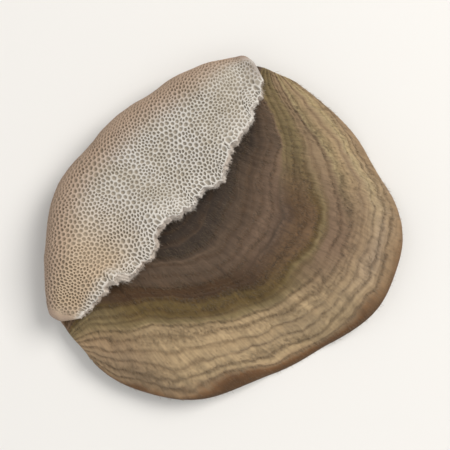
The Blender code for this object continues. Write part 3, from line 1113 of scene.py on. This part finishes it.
def flesh_material(zones, pale):
    """The cap itself: zone colours on the upper skin, pale flesh on the other side and the tear."""
    material, board, shader = finish("leathery_cap", 0.88, 0.08)
    skin = place_group(board, zones, ("Zone", "Along", "Line"))
    under = place_group(board, pale, ("Row", "Along", "Tear"), {"Pit_shade": 0.0})
    colour = board.mix(field(board, "pale"), skin["Colour"], under["Colour"])
    board.feed(shader.inputs["Base Color"], colour)
    where = board.add("TexCoord").outputs["Object"]
    height = board.math("MULTIPLY_ADD", skin["Streak"], 0.8, board.noise(where, 5200, 3, 0.6))
    height = board.math("MULTIPLY_ADD", board.noise(where, 17000, 2, 0.6), 0.5, height)
    grain(board, shader, height, 0.040 * MM)
    return material


def pore_material(pale):
    """The porous layer, slightly chalky."""
    material, board, shader = finish("pore_layer", 0.92, 0.05)
    under = place_group(board, pale, ("Row", "Along", "Pit_shade", "Tear"))
    board.feed(shader.inputs["Base Color"], under["Colour"])
    where = board.add("TexCoord").outputs["Object"]
    grain(board, shader, board.noise(where, 7000, 2, 0.6), 0.016 * MM)
    return material


def velvet_material(zones):
    """Hairs take their zone's colour, and are paler towards the tip."""
    material, board, shader = finish("velvet_hairs", 0.80, 0.14)
    skin = place_group(board, zones, ("Zone", "Along", "Line"))
    light = board.math("MULTIPLY_ADD", field(board, "tip"), 0.20, 0.12)
    board.feed(shader.inputs["Base Color"], board.mix(light, skin["Colour"], linear("straw")))
    return material


# ------------------------------------------------------------------ floor, lights and camera


def stage_material():
    material = bpy.data.materials.new("pale_floor")
    material.use_nodes = True
    shader = material.node_tree.nodes["Principled BSDF"]
    shader.inputs["Base Color"].default_value = (0.78, 0.77, 0.75, 1)
    shader.inputs["Roughness"].default_value = 0.8
    return material


def make_floor():
    bpy.ops.mesh.primitive_plane_add(size=1.2, location=(0, 0, -0.02 * MM))
    floor = bpy.context.object
    floor.name = "floor"
    floor.data.materials.append(stage_material())
    floor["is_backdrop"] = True


def aim(thing, azimuth, elevation, distance, target):
    """Puts a lamp or camera round the target. Azimuth 0 is on the -Y side and 90 on the +X side."""
    turn, rise = math.radians(azimuth), math.radians(elevation)
    back = Vector((math.sin(turn) * math.cos(rise), -math.cos(turn) * math.cos(rise), math.sin(rise)))
    thing.rotation_mode = "QUATERNION"
    thing.location = Vector(target) + back * distance
    thing.rotation_quaternion = (-back).to_track_quat("-Z", "Y")


def make_lamp(name, azimuth, elevation, size, watts, colour):
    data = bpy.data.lights.new(name, "AREA")
    data.size, data.energy, data.color = size, watts, colour
    lamp = bpy.data.objects.new(name, data)
    bpy.context.scene.collection.objects.link(lamp)
    aim(lamp, azimuth, elevation, LAMP_DISTANCE, CENTRE)


def make_world(strength):
    world = bpy.data.worlds.new("studio")
    world.use_nodes = True
    background = world.node_tree.nodes["Background"]
    background.inputs["Color"].default_value = (1.0, 0.98, 0.95, 1)
    background.inputs["Strength"].default_value = strength
    bpy.context.scene.world = world


def make_camera():
    data = bpy.data.cameras.new("camera")
    data.lens, data.sensor_width = 85, 36
    data.clip_start, data.clip_end = 1 * MM, 10
    camera = bpy.data.objects.new("camera", data)
    bpy.context.scene.collection.objects.link(camera)
    half_view = data.sensor_width / 2 / data.lens
    distance = CAP_WIDTH / 2 / CAP_SHARE_OF_FRAME / half_view
    aim(camera, CAMERA_AZIMUTH, CAMERA_ELEVATION, distance, CENTRE)
    bpy.context.scene.camera = camera


CENTRE = tuple((cad_low + cad_high) / 2)
CAP_WIDTH, CAP_SHARE_OF_FRAME = (cad_high - cad_low)[0], 0.80
CAMERA_AZIMUTH, CAMERA_ELEVATION = 0, 84
LAMP_DISTANCE = 250 * MM

# ------------------------------------------------------------------ the whole scene

bpy.context.scene.view_settings.view_transform = "Standard"
zones, pale = growth_zones(), pale_flesh()
flesh_finish, pore_finish = flesh_material(zones, pale), pore_material(pale)
velvet_finish = velvet_material(zones)

cap_body(flesh_finish)
pores(pore_finish)
velvet("velvet_outer", 15200, 81, 0.60, 0.995, velvet_finish)
velvet("velvet_inner", 9600, 82, 0.05, 0.60, velvet_finish)
torn_fibres(2200, 83, pore_finish)

make_floor()
make_lamp("key", 118, 52, 0.14, 0.50, (1.0, 0.97, 0.93))
make_lamp("fill", -60, 35, 0.30, 0.16, (0.95, 0.97, 1.0))
make_lamp("top", 10, 82, 0.30, 0.16, (1.0, 1.0, 1.0))
make_world(0.35)
make_camera()
